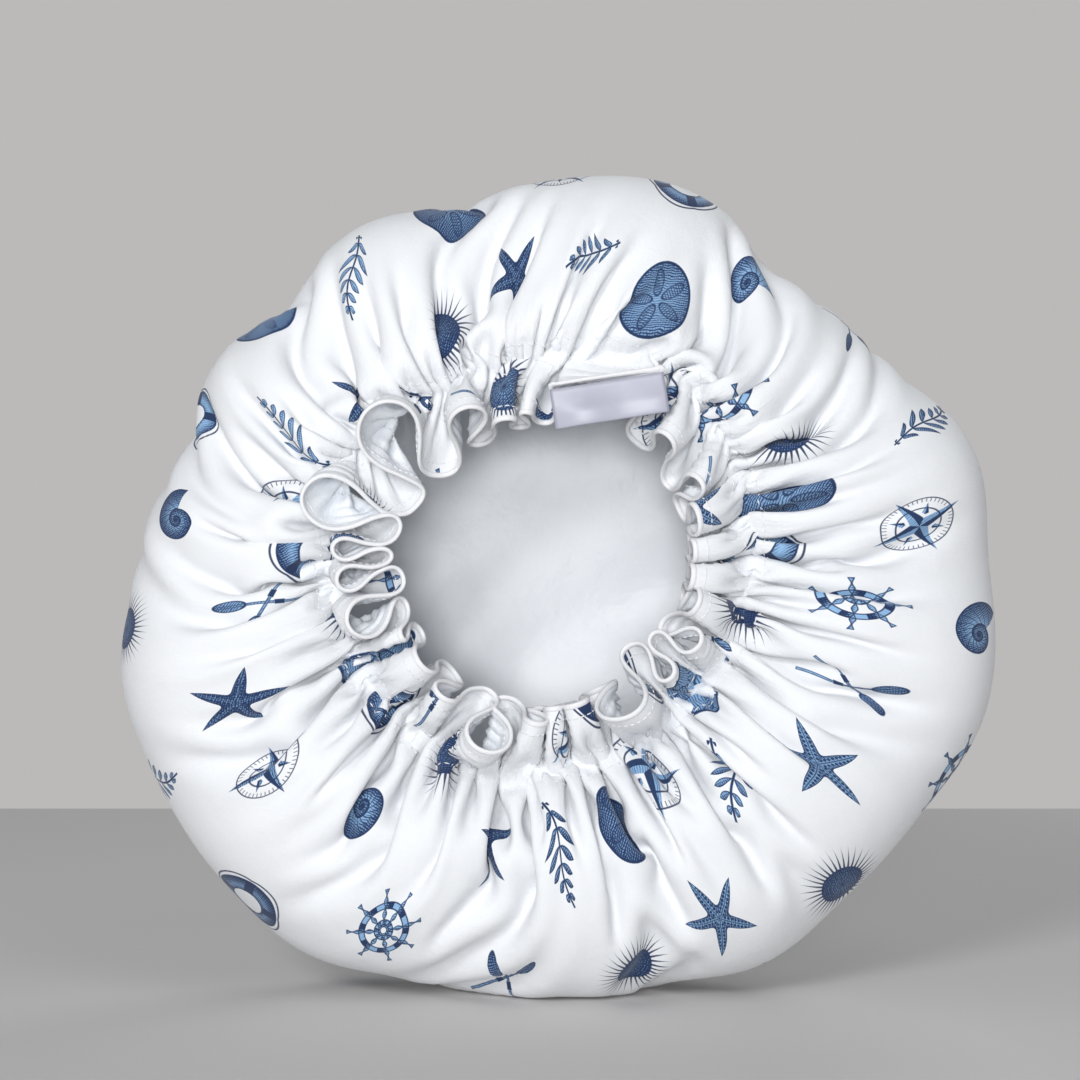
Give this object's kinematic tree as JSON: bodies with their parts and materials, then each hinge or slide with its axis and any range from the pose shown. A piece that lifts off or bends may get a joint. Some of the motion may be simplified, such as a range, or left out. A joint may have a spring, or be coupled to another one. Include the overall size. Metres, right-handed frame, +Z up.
{
  "type": "shower cap",
  "caption": "Lined cloth shower cap with an elastic gathered mouth, a ruffled frill and a blank sewn-in label, standing on its flattened rim with the mouth facing forward.",
  "frame": {"origin": "centre of the bounding box at its bottom, on the surface that the flattened rim stands on", "axes": "+X to the viewer's right across the mouth, +Y from the mouth to the back of the crown, +Z up; the mouth faces -Y"},
  "size_m": [0.3222, 0.1094, 0.2984],
  "materials": {
    "printed_cotton": "soft white plain-weave cotton with a scattered blue engraved-style sea print",
    "waterproof_lining": "smooth cool-white waterproof knit with a faint sheen",
    "elastic_webbing": "matte white knitted elastic",
    "satin_tape": "silvery white woven satin tape, blank"
  },
  "bodies": {
    "cap": {"outer_shell": "printed_cotton", "lining": "waterproof_lining", "elastic_band": "elastic_webbing"},
    "label": {"label": "satin_tape"}
  },
  "joints": [
    {"name": "label_flip", "type": "hinge", "parent": "cap", "child": "label", "pos_m": [0.01601, -0.0404, 0.21756], "axis": [-0.9877, -0.0109, -0.1561], "range_deg": [-10, 150]}
  ]
}
